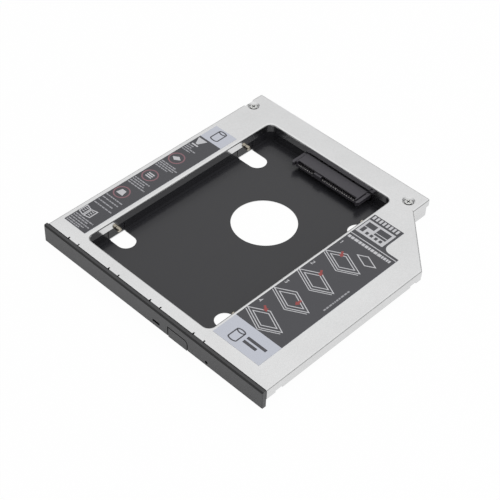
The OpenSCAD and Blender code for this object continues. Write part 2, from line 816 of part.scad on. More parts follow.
// Slot of one blade of the drive's plug, with the leg that keys it
module recept_slot(from_x, to_x, key_side) {
    key_x = key_side > 0 ? to_x - recept_slot_h : from_x;
    translate([from_x, recept_front - over, slot_bottom])
        cube([to_x - from_x, slot_depth + over, recept_slot_h]);
    translate([key_x, recept_front - over, slot_bottom - key_drop])
        cube([recept_slot_h, slot_depth + over, key_drop + over / 2]);
}

// Tapered guide arm, with its tip towards the drive
module guide_arm(x, lean) {
    tip_y = recept_front - arm_reach;
    translate([x, 0, recept_top - arm_rise - arm_h]) linear_extrude(arm_h)
        polygon(lean > 0
            ? [[0, shoulder_y], [0, recept_front], [arm_t / 2, tip_y], [arm_t, tip_y],
                [arm_t, shoulder_y]]
            : [[0, shoulder_y], [0, tip_y], [arm_t / 2, tip_y], [arm_t, recept_front],
                [arm_t, shoulder_y]]);
}

module drive_receptacle() placed() color(black_plastic) difference() {
    x = recept_x;
    whole_w = recept_w + 2 * (arm_gap + arm_t);
    low_top = lip_z - lip_gap;
    union() {
        translate([x, recept_front, recept_z])
            cube([recept_w, shoulder_y - recept_front, recept_top - recept_z]);
        translate([x - arm_gap - arm_t, shoulder_y - web_l, recept_z])
            cube([whole_w, web_l, recept_top - arm_rise - recept_z]);
        translate([x - arm_gap - arm_t, shoulder_y, recept_z])
            cube([whole_w, recept_back - shoulder_y, low_top - recept_z]);
        guide_arm(x - arm_gap - arm_t, 1);
        guide_arm(x + recept_w + arm_gap, -1);
    }
    translate([signal_row[0] - slot_margin, recept_front - over, slot_top])
        cube([array_w + 2 * slot_margin, recept_step + over, recept_wall + over]);
    recept_slot(signal_row[0] - slot_margin, signal_row[signal_count - 1] + slot_margin, 1);
    recept_slot(power_row[0] - slot_margin, power_row[power_count - 1] + slot_margin, -1);
    for (c = concat(signal_row, power_row))
        translate([c - contact_w / 2, recept_front + slot_depth - over, slot_bottom])
            cube([contact_w, recept_back - recept_front - slot_depth + 2 * over,
                contact_t]);
}

module adapter_board() placed() color(board_green) difference() {
    translate([board_x, board_y, board_z]) cube([board_w, board_l, board_t]);
    for (i = [0, 1])
        translate([board_screw_x + i * board_screw_pitch, board_screw_y, board_z - over])
            cylinder(h = board_t + 2 * over, r = screw_hole_r);
}

module board_capacitors() placed() color(part_tan)
    for (i = [-1:1])
        translate([contact_x + i * cap_pitch, board_y + board_l - cap_inset, board_top])
            cube([cap_l, cap_w, cap_w]);

// A round standoff pressed into the shell's floor, with a threaded bore
module standoff(place, d, top, depth) {
    translate([place[0], place[1], 0]) difference() {
        union() {
            cylinder(h = shell_t, r = post_shank_r);
            translate([0, 0, shell_t]) cylinder(h = top - shell_t, d = d);
        }
        translate([0, 0, top - depth]) cylinder(h = depth + over, r = screw_r + thread_gap);
    }
}

board_posts = [for (i = [0, 1]) [board_screw_x + i * board_screw_pitch, board_screw_y]];
cover_posts = [[left_screw_x, left_screw_y], [right_screw_x, right_screw_y]];
standoff_places = concat(board_posts, cover_posts);

module board_standoffs() placed() color(steel)
    for (p = board_posts) standoff(p, board_post_d, board_z, board_z - floor_skin);

module cover_standoffs() placed() color(steel)
    for (p = cover_posts) standoff(p, cover_post_d, post_top, screw_l);

// A cross-recess screw with its head's underside at z
module screw(place, z, head_r, head_h, l) {
    translate([place[0], place[1], z]) difference() {
        union() {
            cylinder(h = head_h - head_bevel, r = head_r);
            translate([0, 0, head_h - head_bevel])
                cylinder(h = head_bevel, r1 = head_r, r2 = head_r - 2 * head_bevel);
            translate([0, 0, -l]) cylinder(h = l, r = screw_r);
        }
        for (turn = [0, 90]) rotate([0, 0, turn])
            translate([-cross_l / 2, -cross_w / 2, head_h - cross_depth])
                cube([cross_l, cross_w, cross_depth + over]);
    }
}

module board_screws() placed() color(steel)
    for (p = board_posts)
        screw(p, board_top, board_screw_head_r, board_screw_head_h, board_screw_l);

module rear_left_screw() placed() color(steel)
    screw(cover_posts[0], dimple_floor, screw_head_r, screw_head_h, screw_l);
module rear_right_screw() placed() color(steel)
    screw(cover_posts[1], dimple_floor, screw_head_r, screw_head_h, screw_l);

module host_plug() placed() color(black_plastic) difference() {
    tip_w = plug_array_w + 2 * tongue_margin;
    union() {
        translate([plug_left, plug_front, board_top]) cube([plug_w, plug_base_l, plug_h]);
        for (x = [plug_left, plug_left + plug_w - plug_wall])
            translate([x, plug_front, board_top])
                cube([plug_wall, plug_back - plug_front, plug_h]);
        translate([plug_left, plug_front, board_top])
            cube([plug_w, plug_back - plug_front, plug_floor]);
        translate([plug_x - tip_w / 2, plug_front, plug_tongue_z])
            cube([tip_w, plug_back - plug_front - plug_recess, plug_tongue_t]);
    }
    for (c = concat(plug_signal_row, plug_power_row))
        translate([c - plug_strip_w / 2, plug_front - over, plug_tongue_z + plug_tongue_t])
            cube([plug_strip_w, plug_base_l + over, contact_t]);
}

module plug_contacts(places) placed() color(gold)
    for (x = places)
        contact(x, plug_strip_w, plug_back - plug_recess - tip_setback, plug_front,
            plug_tongue_z + plug_tongue_t, -1);

module plug_signal_contacts() plug_contacts(plug_signal_row);
module plug_power_contacts() plug_contacts(plug_power_row);

// Section of the bezel, front to the left
module bezel_section() {
    d = bezel_d;
    e = bezel_edge;
    polygon([[0, bezel_z], [-d + e, bezel_z], [-d, bezel_z + e],
        [-d, bezel_top - bezel_bevel], [-d + bezel_bevel, bezel_top],
        [-bezel_seam, bezel_top], [0, bezel_top - bezel_seam]]);
}

// Hook that reaches under a tongue of the cover and catches behind it
module bezel_hook(x) {
    z = tongue_z - fit_gap;
    catch_y = cover_t + fit_gap;
    back_y = bezel_face - bezel_d;
    translate([x + hook_inset, 0, 0]) rotate([90, 0, 90])
        linear_extrude(tongue_w - 2 * hook_inset)
            polygon([[back_y, z - hook_arm_t], [back_y, z], [catch_y, z],
                [catch_y, z + hook_barb], [catch_y + hook_flat, z + hook_barb],
                [hook_reach, z - hook_slope], [hook_reach, z - hook_arm_t]]);
    for (side = [hook_inset, tongue_w - hook_inset - rib_t])
        translate([x + side, back_y, bezel_z + bezel_rim])
            cube([rib_t, -back_y, z - hook_arm_t - bezel_z - bezel_rim]);
}

// Outline of the button's opening, seen from the front, shrunk by gap
module button_outline(gap, low) {
    w = button_w - 2 * gap;
    h = button_top - gap - low;
    r = button_r - gap;
    translate([button_x + gap, low]) {
        square([w - r, h]);
        square([w, h - r]);
        translate([w - r, h - r]) circle(r);
    }
}

module front_bezel() placed() color(black_plastic) difference() {
    union() {
        difference() {
            translate([bezel_left, 0, 0]) rotate([90, 0, 90])
                linear_extrude(bezel_w) bezel_section();
            translate([bezel_left + bezel_rim, bezel_face - bezel_d, bezel_z + bezel_rim])
                cube([bezel_w - 2 * bezel_rim, bezel_d,
                    bezel_top - bezel_z - 2 * bezel_rim]);
        }
        for (i = [0:tongue_count - 1]) bezel_hook(tongue_x + i * tongue_pitch);
    }
    for (end = [0, 1])
        translate([end == 0 ? bezel_left : bezel_left + bezel_w, -bezel_d, 0])
            mirror([end, 0, 0]) linear_extrude(body_h)
                polygon([[-over, -over], [bezel_edge + over, -over], [bezel_edge, 0],
                    [0, bezel_edge], [-over, bezel_edge + over]]);
    translate([lamp_x, -bezel_d - over, lamp_z]) cube([lamp_l, bezel_face + 2 * over, lamp_h]);
    translate([pinhole_x, bezel_face - bezel_d + over, pinhole_z]) rotate([90, 0, 0])
        cylinder(h = bezel_face + 2 * over, d = pinhole_d);
    translate([0, over / 2, 0]) rotate([90, 0, 0])
        linear_extrude(bezel_d + over) button_outline(0, bezel_z - over);
}

module eject_button() placed() color(black_plastic) {
    back_y = bezel_face - bezel_d;
    rim_z = bezel_z + bezel_rim + button_gap;
    translate([0, back_y, 0]) rotate([90, 0, 0])
        linear_extrude(bezel_face) button_outline(button_gap, bezel_z);
    translate([button_x - button_rim, back_y, rim_z])
        cube([button_w + 2 * button_rim, button_rim_t, button_top + button_rim - rim_z]);
    translate([button_x + (button_w - button_stem_w) / 2, back_y + button_rim_t, rim_z + stem_rise])
        cube([button_stem_w, button_stem_l, button_stem_h]);
}

module left_label() placed() color(label_grey)
    translate([window_x - left_label_gap - left_label_w, label_y, body_h])
        cube([left_label_w, left_label_l, label_t]);

module right_label() placed() color(label_grey)
    translate([window_end_x + right_label_gap, label_y, body_h]) linear_extrude(label_t) {
        square([right_label_w, right_label_l]);
        square([right_tail_w, right_label_l + right_tail_l]);
        translate([right_tail_w, right_label_l]) difference() {
            square(tail_fillet);
            translate([tail_fillet, tail_fillet]) circle(tail_fillet);
        }
    }

top_cover();
bottom_shell();
drive_pan();
front_left_pin();
rear_left_pin();
front_right_pin();
rear_right_pin();
drive_receptacle();
receptacle_signal_contacts();
receptacle_power_contacts();
adapter_board();
board_capacitors();
board_standoffs();
board_screws();
host_plug();
plug_signal_contacts();
plug_power_contacts();
cover_standoffs();
rear_left_screw();
rear_right_screw();
front_bezel();
eject_button();
left_label();
right_label();
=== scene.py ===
"""Laptop drive caddy: finishes, label print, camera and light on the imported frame."""

import math
import random

import bmesh
import bpy
from mathutils import Matrix, Vector


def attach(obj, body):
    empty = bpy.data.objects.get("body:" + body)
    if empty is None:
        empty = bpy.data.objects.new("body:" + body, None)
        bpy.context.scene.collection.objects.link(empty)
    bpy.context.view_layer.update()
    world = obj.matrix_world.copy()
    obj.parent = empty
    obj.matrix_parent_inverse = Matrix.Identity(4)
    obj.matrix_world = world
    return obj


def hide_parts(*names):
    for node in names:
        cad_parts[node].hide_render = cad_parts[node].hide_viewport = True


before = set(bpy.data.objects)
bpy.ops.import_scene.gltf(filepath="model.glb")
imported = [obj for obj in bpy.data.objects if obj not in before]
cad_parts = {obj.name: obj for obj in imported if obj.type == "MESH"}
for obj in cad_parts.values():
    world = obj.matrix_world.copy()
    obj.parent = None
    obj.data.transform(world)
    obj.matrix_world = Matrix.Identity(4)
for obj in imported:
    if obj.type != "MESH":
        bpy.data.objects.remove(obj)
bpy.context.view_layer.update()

MM = 0.001
# The left front corner of the body, seen from the frame's origin, in millimetres
CORNER_X = -62.3
CORNER_Y = -62.0
# Heights of the label film and of the print on it, in millimetres
LABEL_BASE = 9.5
FILM_TOP = 9.585
FIELD_TOP = 9.59
PRINT_TOP = 9.595
DETAIL_TOP = 9.6
PRINT_T = 0.004


# Shader node groups


def new_group(name, inputs, outputs):
    """An empty shader node group with named, typed sockets. Returns it with its two end nodes."""
    tree = bpy.data.node_groups.new(name, "ShaderNodeTree")
    for label, kind, value in inputs:
        socket = tree.interface.new_socket(name=label, in_out="INPUT", socket_type=kind)
        socket.default_value = value
    for label, kind in outputs:
        tree.interface.new_socket(name=label, in_out="OUTPUT", socket_type=kind)
    return tree, tree.nodes.new("NodeGroupInput"), tree.nodes.new("NodeGroupOutput")


def math_node(tree, operation, first, second=None, third=None, clamp=False):
    """A Math node whose inputs are sockets or plain numbers."""
    node = tree.nodes.new("ShaderNodeMath")
    node.operation = operation
    node.use_clamp = clamp
    for socket, value in zip(node.inputs, (first, second, third)):
        if value is None:
            continue
        if isinstance(value, (int, float)):
            socket.default_value = value
        else:
            tree.links.new(value, socket)
    return node.outputs[0]


def mix_colour(tree, factor, first, second):
    """A Mix node for colours whose inputs are sockets or plain values."""
    node = tree.nodes.new("ShaderNodeMix")
    node.data_type = "RGBA"
    for socket, value in ((node.inputs[0], factor), (node.inputs[6], first), (node.inputs[7], second)):
        if isinstance(value, bpy.types.NodeSocket):
            tree.links.new(value, socket)
        else:
            socket.default_value = value
    return node.outputs[2]


def scaled(tree, colour, value):
    """A colour times a value."""
    node = tree.nodes.new("ShaderNodeVectorMath")
    node.operation = "SCALE"
    tree.links.new(colour, node.inputs[0])
    tree.links.new(value, node.inputs["Scale"])
    return node.outputs[0]


def noise(tree, scale, detail):
    """Noise in the object's own space. scale is a socket."""
    place = tree.nodes.new("ShaderNodeTexCoord")
    node = tree.nodes.new("ShaderNodeTexNoise")
    node.inputs["Detail"].default_value = detail
    tree.links.new(scale, node.inputs["Scale"])
    tree.links.new(place.outputs["Object"], node.inputs["Vector"])
    return node.outputs["Fac"]


def make_grain_group():
    """Fine grain of a surface: it varies the colour and the roughness, and gives a height."""
    coarse_share = 0.5
    middle = 0.5 * (1 + coarse_share)
    tree, ins, outs = new_group(
        "Surface grain",
        [
            ("Colour", "NodeSocketColor", (0.5, 0.5, 0.5, 1)),
            ("Contrast", "NodeSocketFloat", 0.1),
            ("Grain scale", "NodeSocketFloat", 2500.0),
            ("Roughness", "NodeSocketFloat", 0.4),
            ("Roughness spread", "NodeSocketFloat", 0.1),
        ],
        [("Colour", "NodeSocketColor"), ("Roughness", "NodeSocketFloat"), ("Height", "NodeSocketFloat")],
    )
    fine = noise(tree, ins.outputs["Grain scale"], 2.0)
    coarse_scale = math_node(tree, "MULTIPLY", ins.outputs["Grain scale"], 0.02)
    coarse = noise(tree, coarse_scale, 3.0)
    both = math_node(tree, "MULTIPLY_ADD", coarse, coarse_share, fine)
    centred = math_node(tree, "SUBTRACT", both, middle)
    gain = math_node(tree, "MULTIPLY_ADD", centred, ins.outputs["Contrast"], 1.0)
    tree.links.new(scaled(tree, ins.outputs["Colour"], gain), outs.inputs["Colour"])
    spread = ins.outputs["Roughness spread"]
    rough = math_node(tree, "MULTIPLY_ADD", centred, spread, ins.outputs["Roughness"])
    tree.links.new(rough, outs.inputs["Roughness"])
    tree.links.new(fine, outs.inputs["Height"])
    return tree


def make_dust_group():
    """Sparse pale specks that settle on a surface."""
    speck_level = 0.66
    speck_sharpness = 9.0
    tree, ins, outs = new_group(
        "Light dust",
        [
            ("Colour", "NodeSocketColor", (0.1, 0.1, 0.1, 1)),
            ("Dust colour", "NodeSocketColor", (0.5, 0.5, 0.48, 1)),
            ("Amount", "NodeSocketFloat", 0.2),
            ("Speck scale", "NodeSocketFloat", 700.0),
        ],
        [("Colour", "NodeSocketColor")],
    )
    specks = noise(tree, ins.outputs["Speck scale"], 1.0)
    high = math_node(tree, "SUBTRACT", specks, speck_level)
    sharp = math_node(tree, "MULTIPLY", high, speck_sharpness, clamp=True)
    mask = math_node(tree, "MULTIPLY", sharp, ins.outputs["Amount"])
    dusty = mix_colour(tree, mask, ins.outputs["Colour"], ins.outputs["Dust colour"])
    tree.links.new(dusty, outs.inputs["Colour"])
    return tree


def make_face_group():
    """A value for upright faces, one for bends and one for level faces, by the surface's normal.

    A face is upright below the first normal height and a bend above the second, and it is still a
    bend at the third and level above the fourth.
    """
    upright_full, upright_end, level_start, level_full = 0.2, 0.4, 0.92, 0.98
    upright_run = upright_end - upright_full
    level_run = level_full - level_start
    tree, ins, outs = new_group(
        "Tone by face",
        [
            ("Upright", "NodeSocketFloat", 1.0),
            ("Bend", "NodeSocketFloat", 1.0),
            ("Level", "NodeSocketFloat", 1.0),
        ],
        [("Value", "NodeSocketFloat")],
    )
    place = tree.nodes.new("ShaderNodeTexCoord")
    split = tree.nodes.new("ShaderNodeSeparateXYZ")
    tree.links.new(place.outputs["Normal"], split.inputs[0])
    rise = math_node(tree, "ABSOLUTE", split.outputs["Z"])
    upright = math_node(tree, "MULTIPLY_ADD", rise, -1 / upright_run, upright_end / upright_run, clamp=True)
    level = math_node(tree, "MULTIPLY_ADD", rise, 1 / level_run, -level_start / level_run, clamp=True)
    either = math_node(tree, "ADD", upright, level)
    bend = math_node(tree, "SUBTRACT", 1.0, either)
    total = math_node(tree, "MULTIPLY", upright, ins.outputs["Upright"])
    total = math_node(tree, "MULTIPLY_ADD", bend, ins.outputs["Bend"], total)
    total = math_node(tree, "MULTIPLY_ADD", level, ins.outputs["Level"], total)
    tree.links.new(total, outs.inputs["Value"])
    return tree


def make_shade_box_group():
    """A mask that is 1 inside a box in the object's own space, where the colour is painted nearly black as
    shade.
    """
    tree, ins, outs = new_group(
        "Painted shade mask",
        [
            ("Low corner", "NodeSocketVector", (0, 0, 0)),
            ("High corner", "NodeSocketVector", (1, 1, 1)),
        ],
        [("Mask", "NodeSocketFloat")],
    )
    place = tree.nodes.new("ShaderNodeTexCoord")
    here, low, high = (tree.nodes.new("ShaderNodeSeparateXYZ") for _ in range(3))
    tree.links.new(place.outputs["Object"], here.inputs[0])
    tree.links.new(ins.outputs["Low corner"], low.inputs[0])
    tree.links.new(ins.outputs["High corner"], high.inputs[0])
    mask = None
    for axis in "XYZ":
        above = math_node(tree, "GREATER_THAN", here.outputs[axis], low.outputs[axis])
        below = math_node(tree, "LESS_THAN", here.outputs[axis], high.outputs[axis])
        inside = math_node(tree, "MULTIPLY", above, below)
        mask = inside if mask is None else math_node(tree, "MULTIPLY", mask, inside)
    tree.links.new(mask, outs.inputs["Mask"])
    return tree


grain_group = make_grain_group()
dust_group = make_dust_group()
face_group = make_face_group()
shade_box_group = make_shade_box_group()


# Materials


def place_group(tree, group, values):
    """A group node with its inputs set to plain values."""
    node = tree.nodes.new("ShaderNodeGroup")
    node.node_tree = group
    for label, value in values.items():
        node.inputs[label].default_value = value
    return node


# Depth of the grain's relief, in metres
GRAIN_DEPTH = 0.00002
COAT_ROUGHNESS = 0.15
# Nearly black colour painted as shade into the bezel's hollows and the cover screws' cross and rim
PAINTED_SHADE_COLOUR = (0.004, 0.004, 0.004, 1)
FACE_SOCKETS = ("Upright", "Bend", "Level")


def finish(name, colour, roughness, metallic=0.0, contrast=0.1, grain=2500.0, spread=0.1, bump=0.05,
           dust=0.0, coat=0.0, painted_face_light=None, roughness_tones=None, painted_shade_box=None):
    """A material: a Principled shader fed by the groups.

    Colour factors for upright faces, bends and level faces paint light and shade onto the colour;
    roughness_tones are roughness factors for the same faces.
    The painted shade box is the low and high corner of the box in which the colour is painted nearly black
    as shade.
    """
    material = bpy.data.materials.new(name)
    material.use_nodes = True
    tree = material.node_tree
    shader = tree.nodes["Principled BSDF"]
    shader.inputs["Metallic"].default_value = metallic
    shader.inputs["Coat Weight"].default_value = coat
    shader.inputs["Coat Roughness"].default_value = COAT_ROUGHNESS
    surface = place_group(tree, grain_group, {
        "Colour": (*colour, 1), "Contrast": contrast, "Grain scale": grain,
        "Roughness": roughness, "Roughness spread": spread,
    })
    base = surface.outputs["Colour"]
    rough = surface.outputs["Roughness"]
    if dust:
        settled = place_group(tree, dust_group, {"Amount": dust})
        tree.links.new(base, settled.inputs["Colour"])
        base = settled.outputs["Colour"]
    # Painted light and shade: the colour is scaled by face, lighter or darker by the normal
    if painted_face_light:
        faces = place_group(tree, face_group, dict(zip(FACE_SOCKETS, painted_face_light)))
        base = scaled(tree, base, faces.outputs["Value"])
    if roughness_tones:
        faces = place_group(tree, face_group, dict(zip(FACE_SOCKETS, roughness_tones)))
        rough = math_node(tree, "MULTIPLY", rough, faces.outputs["Value"])
    # Painted shade: the colour turns nearly black inside the box
    if painted_shade_box:
        shade_box_mask = place_group(tree, shade_box_group, {"Low corner": painted_shade_box[0], "High corner": painted_shade_box[1]})
        base = mix_colour(tree, shade_box_mask.outputs["Mask"], base, PAINTED_SHADE_COLOUR)
    relief = tree.nodes.new("ShaderNodeBump")
    relief.inputs["Strength"].default_value = bump
    relief.inputs["Distance"].default_value = GRAIN_DEPTH
    tree.links.new(surface.outputs["Height"], relief.inputs["Height"])
    tree.links.new(base, shader.inputs["Base Color"])
    tree.links.new(rough, shader.inputs["Roughness"])
    tree.links.new(relief.outputs["Normal"], shader.inputs["Normal"])
    return material


# Box that holds the lamp slot, the button's groove and the pinhole behind the bezel's face, where the
# plastic is painted nearly black as shade, in metres
BEZEL_PAINTED_SHADE_BOX = ((0.0029, -0.0640, -0.001), (0.0340, 0.0, 0.0080))
# How far below the top of a cover screw's head its cross and rim are painted dark as shade, in metres
SCREW_PAINTED_SHADE_DEPTH = 0.0001

bright_sheet = finish("bright_sheet", (0.768, 0.770, 0.772), 0.34, metallic=1.0, contrast=0.30,
                      grain=3000.0, spread=0.12, bump=0.3, roughness_tones=(0.4, 0.8, 1.0))
black_sheet = finish("black_sheet", (0.020, 0.020, 0.023), 0.24, contrast=0.3, grain=3200.0, spread=0.1,
                     bump=0.12)
pin_metal = finish("pin_metal", (0.50, 0.46, 0.38), 0.28, metallic=1.0, grain=4000.0)
screw_metal = finish("screw_metal", (0.66, 0.66, 0.66), 0.26, metallic=1.0, grain=4000.0)
screw_top = max(corner.co.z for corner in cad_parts["rear_right_screw"].data.vertices)
# Cover screws: the cross and rim below the head's top are painted nearly black as shade
cover_screw_metal_painted_shade = finish("cover_screw_metal_painted_shade", (0.68, 0.685, 0.67), 0.26, metallic=1.0, grain=4000.0,
                           painted_shade_box=((-1.0, -1.0, -1.0), (1.0, 1.0, screw_top - SCREW_PAINTED_SHADE_DEPTH)))
contact_metal = finish("contact_metal", (0.80, 0.79, 0.74), 0.25, metallic=1.0, grain=5000.0)
connector_plastic = finish("connector_plastic", (0.045, 0.042, 0.050), 0.42, contrast=0.3, grain=5000.0,
                           bump=0.2, dust=0.03)
# The bezel and button carry painted light: upright faces lighter as a painted reflection, bends and level
# faces darker as painted shade, and the hollows painted nearly black as shade
bezel_plastic = finish("bezel_plastic", (0.045, 0.045, 0.047), 0.42, contrast=0.3, grain=4200.0,
                       bump=0.35, dust=0.03, painted_face_light=(1.50, 0.28, 0.86), painted_shade_box=BEZEL_PAINTED_SHADE_BOX)
board = finish("board", (0.02, 0.10, 0.05), 0.35, contrast=0.2, grain=3000.0, coat=0.3)
board_part = finish("board_part", (0.45, 0.36, 0.25), 0.5, contrast=0.2, grain=4000.0)
label_dark = finish("label_dark", (0.055, 0.055, 0.062), 0.42, contrast=0.25, grain=3000.0, bump=0.05)
label_pale = finish("label_pale", (0.53, 0.55, 0.615), 0.42, contrast=0.06, grain=3000.0, bump=0.05)
print_white = finish("print_white", (0.55, 0.55, 0.57), 0.45, contrast=0.1, grain=3000.0)
print_grey = finish("print_grey", (0.34, 0.34, 0.36), 0.45, contrast=0.2, grain=3000.0)
print_red = finish("print_red", (0.30, 0.060, 0.058), 0.45, contrast=0.15, grain=3000.0)
print_rose = finish("print_rose", (0.24, 0.12, 0.14), 0.45, contrast=0.15, grain=3000.0)
print_dark = finish("print_dark", (0.06, 0.06, 0.07), 0.45, contrast=0.15, grain=3000.0)

NODE_FINISH = {
    "top_cover": bright_sheet,
    "bottom_shell": bright_sheet,
    "drive_pan": black_sheet,
    "front_left_pin": pin_metal,
    "rear_left_pin": pin_metal,
    "front_right_pin": pin_metal,
    "rear_right_pin": pin_metal,
    "drive_receptacle": connector_plastic,
    "receptacle_signal_contacts": contact_metal,
    "receptacle_power_contacts": contact_metal,
    "adapter_board": board,
    "board_capacitors": board_part,
    "board_standoffs": pin_metal,
    "board_screws": screw_metal,
    "host_plug": connector_plastic,
    "plug_signal_contacts": contact_metal,
    "plug_power_contacts": contact_metal,
    "cover_standoffs": pin_metal,
    "rear_left_screw": cover_screw_metal_painted_shade,
    "rear_right_screw": cover_screw_metal_painted_shade,
    "front_bezel": bezel_plastic,
    "eject_button": bezel_plastic,
    "left_label": label_dark,
    "right_label": label_dark,
}
for node_name, material in NODE_FINISH.items():
    node_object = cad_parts[node_name]
    node_object.data.materials.clear()
    node_object.data.materials.append(material)


# Mesh helpers for the print. Places are in millimetres from the body's left front corner.


def point(x, y, z):
    return Vector(((x + CORNER_X) * MM, (y + CORNER_Y) * MM, z * MM))


def prism(mesh, outline, low, high):
    """A closed prism on an outline that runs counterclockwise."""
    bottom = [mesh.verts.new(point(x, y, low)) for x, y in outline]
    top = [mesh.verts.new(point(x, y, high)) for x, y in outline]
    mesh.faces.new(top)
    mesh.faces.new(list(reversed(bottom)))
    for i in range(len(outline)):
        j = (i + 1) % len(outline)
        mesh.faces.new((bottom[i], bottom[j], top[j], top[i]))


def box(mesh, x0, y0, x1, y1, low, high):
    prism(mesh, [(x0, y0), (x1, y0), (x1, y1), (x0, y1)], low, high)


def stroke(mesh, points, width, low, high, closed=False):
    """A line of even width with mitred corners, as one closed solid."""
    path = [Vector(p) for p in points]
    count = len(path)
    rows = []
    for i, here in enumerate(path):
        first = closed or i > 0
        last = closed or i < count - 1
        ahead = (path[(i + 1) % count] - here).normalized() if last else None
        behind = (here - path[i - 1]).normalized() if first else ahead
        ahead = ahead or behind
        across_in = Vector((-behind.y, behind.x))
        across_out = Vector((-ahead.y, ahead.x))
        across = (across_in + across_out).normalized()
        across *= width / 2 / max(0.4, across.dot(across_in))
        right, left = here - across, here + across
        rows.append([mesh.verts.new(point(p.x, p.y, z)) for p, z in (
            (right, low), (right, high), (left, high), (left, low))])
    for i in range(count if closed else count - 1):
        near, far = rows[i], rows[(i + 1) % count]
        for k in range(4):
            m = (k + 1) % 4
            mesh.faces.new((near[k], far[k], far[m], near[m]))
    if not closed:
        mesh.faces.new(rows[0])
        mesh.faces.new(list(reversed(rows[-1])))


def arc_points(cx, cy, rx, ry, start, end, count):
    """Points of an elliptic arc, with its angles in degrees."""
    turns = [math.radians(start + (end - start) * i / (count - 1)) for i in range(count)]
    return [(cx + rx * math.cos(t), cy + ry * math.sin(t)) for t in turns]


def ring(mesh, cx, cy, outer, inner, low, high):
    """A closed flat ring."""
    count = 48
    loops = []
    for radius, z in ((outer, low), (outer, high), (inner, high), (inner, low)):
        turns = [2 * math.pi * i / count for i in range(count)]
        loops.append([mesh.verts.new(point(cx + radius * math.cos(t), cy + radius * math.sin(t), z))
                      for t in turns])
    for k in range(4):
        first, second = loops[k], loops[(k + 1) % 4]
        for i in range(count):
            j = (i + 1) % count
            mesh.faces.new((first[i], first[j], second[j], second[i]))


def piece(name, build, material):
    """A mesh piece that rides on the caddy. build fills its mesh."""
    mesh = bmesh.new()
    build(mesh)
    data = bpy.data.meshes.new(name)
    mesh.to_mesh(data)
    mesh.free()
    data.materials.append(material)
    made = bpy.data.objects.new(name, data)
    bpy.context.scene.collection.objects.link(made)
    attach(made, "caddy")
    return made


# Labels

LEFT_X0, LEFT_X1 = 2.4, 15.2
LEFT_Y0, LEFT_Y1 = 6.5, 94.6
LEFT_SPLIT = 84.6
RIGHT_X0, RIGHT_X1 = 90.1, 114.6
RIGHT_TAIL_X = 106.0
RIGHT_Y0, RIGHT_Y1 = 6.5, 87.7
RIGHT_TAIL_Y = 101.5
RIGHT_SPLIT = 19.0
FILLET = 3.5


def right_outline(low_y):
    """Outline of the right label above low_y, with its narrow end."""
    fillet = arc_points(RIGHT_TAIL_X + FILLET, RIGHT_Y1 + FILLET, FILLET, FILLET, 270, 180, 13)
    return [(RIGHT_X0, low_y), (RIGHT_X1, low_y), (RIGHT_X1, RIGHT_Y1)] + fillet + [
        (RIGHT_TAIL_X, RIGHT_TAIL_Y), (RIGHT_X0, RIGHT_TAIL_Y)]


left_film = piece(
    "left_label_film",
    lambda mesh: box(mesh, LEFT_X0, LEFT_Y0, LEFT_X1, LEFT_Y1, LABEL_BASE, FILM_TOP),
    label_pale)
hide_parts("left_label")
right_film = piece(
    "right_label_film",
    lambda mesh: prism(mesh, right_outline(RIGHT_Y0), LABEL_BASE, FILM_TOP),
    label_pale)
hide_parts("right_label")
piece(
    "left_label_field",
    lambda mesh: box(mesh, LEFT_X0, LEFT_Y0, LEFT_X1, LEFT_SPLIT, FILM_TOP - PRINT_T, FIELD_TOP),
    label_dark)
piece(
    "right_label_field",
    lambda mesh: prism(mesh, right_outline(RIGHT_SPLIT), FILM_TOP - PRINT_T, FIELD_TOP),
    label_dark)

# Levels of the print on the dark field, of the print on top of that, and of the print on the film
FIELD = (FIELD_TOP - PRINT_T, PRINT_TOP)
DETAIL = (PRINT_TOP - PRINT_T, DETAIL_TOP)
ON_FILM = (FILM_TOP - PRINT_T, PRINT_TOP)


def drum(mesh, cx, cy, width, height, thick, levels):
    """Outline of an upright drum with its front rim."""
    rx = width / 2
    ry = width * 0.2
    half = height / 2 - ry
    outline = arc_points(cx, cy + half, rx, ry, 0, 180, 13)
    outline += arc_points(cx, cy - half, rx, ry, 180, 360, 13)
    stroke(mesh, outline, thick, *levels, closed=True)
    inner = rx - thick / 2
    stroke(mesh, arc_points(cx, cy + half, inner, ry, 185, 355, 13), thick, *levels)


def text_rows(mesh, x0, rows, thick, levels, seed):
    """Rows of plain dashes that stand for running text. rows holds a height and a length each."""
    draw = random.Random(seed)
    for y, reach in rows:
        x = x0
        while x < x0 + reach - 0.3:
            end = min(x + draw.uniform(0.7, 2.1), x0 + reach)
            box(mesh, x, y - thick / 2, end, y + thick / 2, *levels)
            x = end + 0.3


LEFT_TEXT = (
    ((76.9, 3.6), (75.6, 3.2), (74.4, 6.6), (73.1, 4.7)),
    ((60.9, 8.6), (59.7, 11.1), (58.5, 9.4), (57.2, 7.3)),
    ((45.3, 9.4), (44.0, 7.3), (42.7, 8.2), (41.3, 10.2)),
    ((29.2, 9.7), (27.0, 9.8), (24.7, 9.2), (22.4, 10.8)),
    ((12.3, 10.8), (11.1, 8.6), (9.7, 11.2), (8.4, 9.4), (7.3, 7.8)),
)
LEFT_RINGS = ((6.5, 66.3), (6.9, 50.3), (6.6, 34.4))


